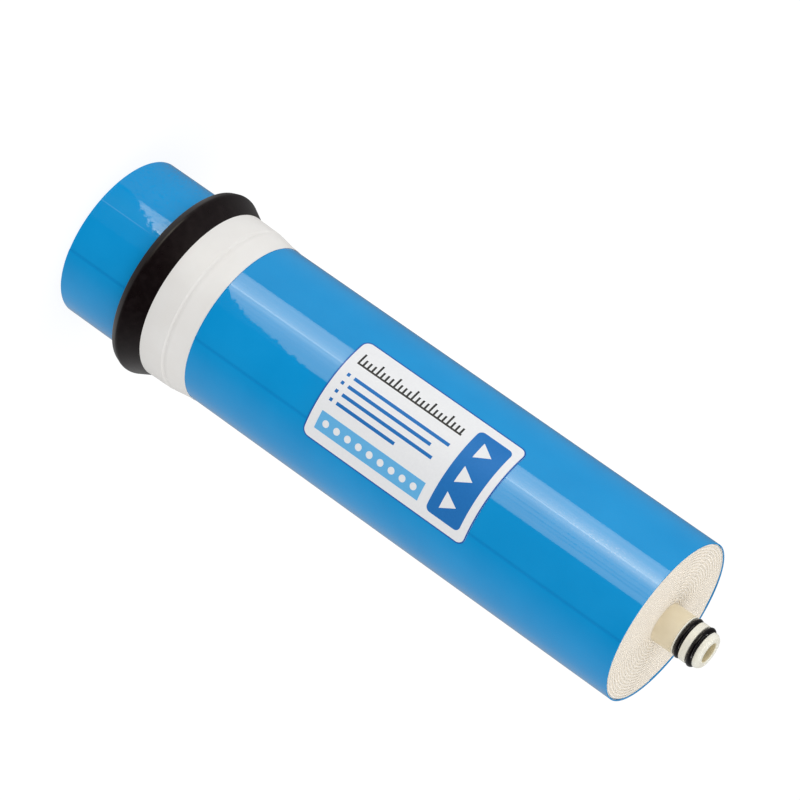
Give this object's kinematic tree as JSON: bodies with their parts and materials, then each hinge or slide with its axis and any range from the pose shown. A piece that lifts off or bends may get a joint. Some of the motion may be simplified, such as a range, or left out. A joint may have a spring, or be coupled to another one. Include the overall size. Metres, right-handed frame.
{
  "type": "spiral-wound reverse osmosis membrane element",
  "caption": "Round blue spiral-wound water filter element with a flared black lip seal near the feed end and a stub spigot with O-rings at the product end.",
  "frame": {"origin": "centre of the feed end, on the plane of the tape wrap's lower rim", "axes": "+Z along the element's axis from the feed end to the product spigot, -Y towards the label"},
  "size_m": [0.0954, 0.0954, 0.3416],
  "materials": {
    "wrap_film": "glossy blue tape film, smooth, light streaks",
    "tube_plastic": "tan moulded plastic, satin",
    "plug_plastic": "pale moulded plastic, satin",
    "carrier_cloth": "cream knitted cloth",
    "spigot_plastic": "off-white moulded plastic, satin",
    "ring_rubber": "black rubber, slightly glossy",
    "seal_rubber": "dull brown-black rubber",
    "band_tape": "white vinyl tape, satin",
    "label_print": "white coated label with plain printed bars and blocks in blue and black",
    "membrane_sheet": "cream pressed polyester sheet, matte",
    "spacer_net": "off-white extruded net"
  },
  "bodies": {
    "root": {"shell_wrap": "wrap_film", "permeate_tube": "tube_plastic", "tube_plug": "plug_plastic", "carrier_wrap": "carrier_cloth", "product_spigot": "spigot_plastic", "o_ring_inner": "ring_rubber", "o_ring_outer": "ring_rubber", "brine_seal": "seal_rubber", "seal_band": "band_tape", "label": "label_print", "membrane_envelope_1": "membrane_sheet", "feed_spacer_1": "spacer_net", "membrane_envelope_2": "membrane_sheet", "feed_spacer_2": "spacer_net", "membrane_envelope_3": "membrane_sheet", "feed_spacer_3": "spacer_net", "membrane_envelope_4": "membrane_sheet", "feed_spacer_4": "spacer_net", "membrane_envelope_5": "membrane_sheet", "feed_spacer_5": "spacer_net", "membrane_envelope_6": "membrane_sheet", "feed_spacer_6": "spacer_net"}
  },
  "joints": []
}
